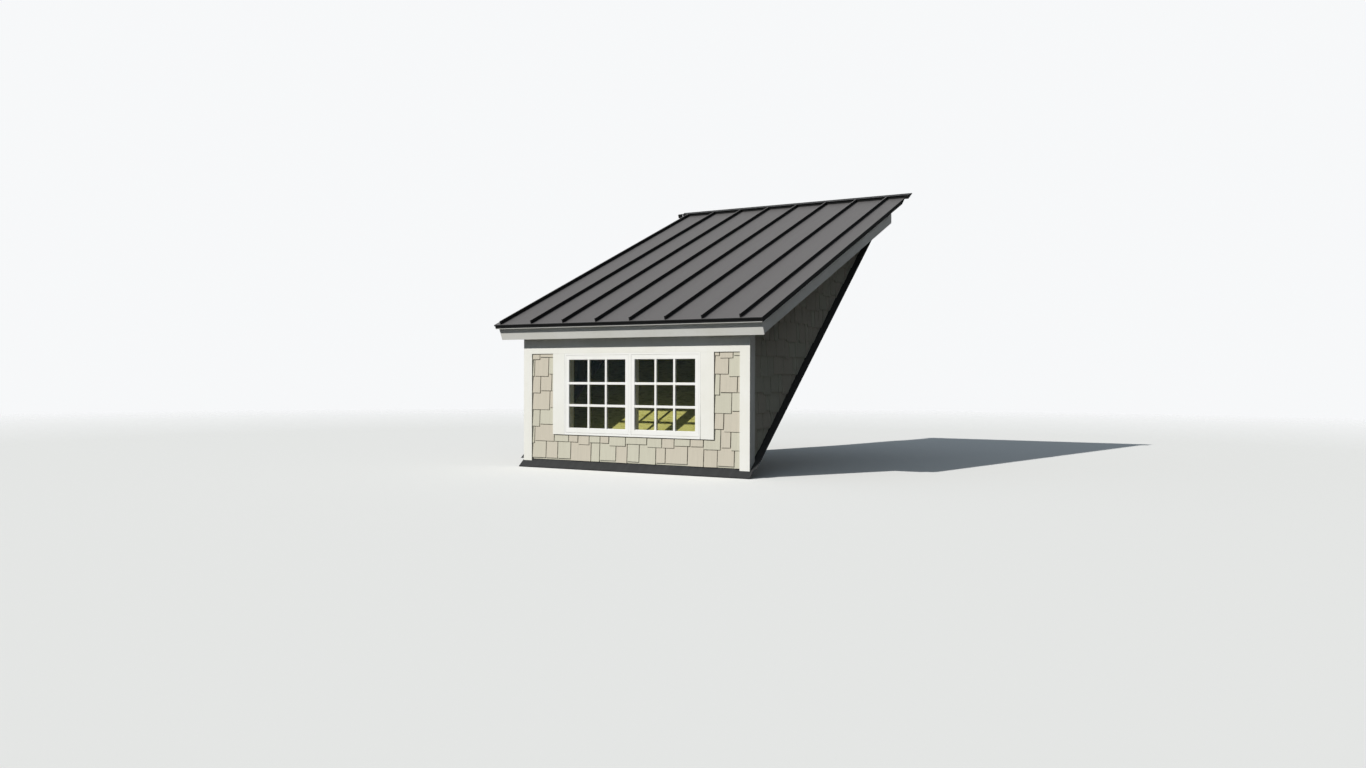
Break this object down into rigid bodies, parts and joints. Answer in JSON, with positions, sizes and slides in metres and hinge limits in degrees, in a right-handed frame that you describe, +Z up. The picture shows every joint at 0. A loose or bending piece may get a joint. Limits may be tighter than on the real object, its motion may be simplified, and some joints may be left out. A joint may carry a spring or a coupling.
{
  "type": "dormer window",
  "caption": "Shed-roof dormer for a pitched roof: shingled front and cheeks, white trim, a divided-lite window and a standing-seam metal roof.",
  "frame": {"origin": "on the underside of the dormer's roof deck, at mid width, under the outer face of the front sheathing", "axes": "+X along the front to the right, +Y back into the main roof, +Z up; the front with the window faces -Y"},
  "size_m": [3.308, 4.157, 3.2804],
  "materials": {
    "deck_boards": "bare boards, dry",
    "framing_lumber": "bare sawn lumber",
    "wood_sheathing": "bare panel",
    "wood_shingles": "flat stain",
    "white_trim": "satin white paint",
    "white_window": "satin white paint",
    "window_glass": "clear",
    "roof_metal": "dark bronze coating, satin",
    "flashing_metal": "dark bronze coating, satin"
  },
  "bodies": {
    "root": {"roof_deck": "deck_boards", "front_sole_plate": "framing_lumber", "cheek_sole_plates": "framing_lumber", "front_studs": "framing_lumber", "window_header": "framing_lumber", "rough_sill": "framing_lumber", "front_top_plate": "framing_lumber", "cheek_top_plates": "framing_lumber", "cheek_studs": "framing_lumber", "rafters": "framing_lumber", "rake_lookouts": "framing_lumber", "front_sheathing": "wood_sheathing", "left_sheathing": "wood_sheathing", "right_sheathing": "wood_sheathing", "roof_sheathing": "wood_sheathing", "front_siding": "wood_shingles", "left_siding": "wood_shingles", "right_siding": "wood_shingles", "left_corner_board": "white_trim", "right_corner_board": "white_trim", "frieze_board": "white_trim", "left_casing": "white_trim", "right_casing": "white_trim", "window_frame": "white_window", "left_sash": "white_window", "right_sash": "white_window", "left_glass": "window_glass", "right_glass": "window_glass", "sub_fascia": "framing_lumber", "fascia_board": "white_trim", "eave_strip": "white_trim", "left_rake_board": "white_trim", "right_rake_board": "white_trim", "rake_strips": "white_trim", "front_soffit": "white_trim", "rake_soffits": "white_trim", "eave_drip_edge": "flashing_metal", "left_rake_trim": "flashing_metal", "right_rake_trim": "flashing_metal", "roof_panels": "roof_metal", "head_closures": "flashing_metal", "head_flashing": "flashing_metal", "apron_flashing": "flashing_metal", "left_step_flashing": "flashing_metal", "right_step_flashing": "flashing_metal"}
  },
  "joints": []
}
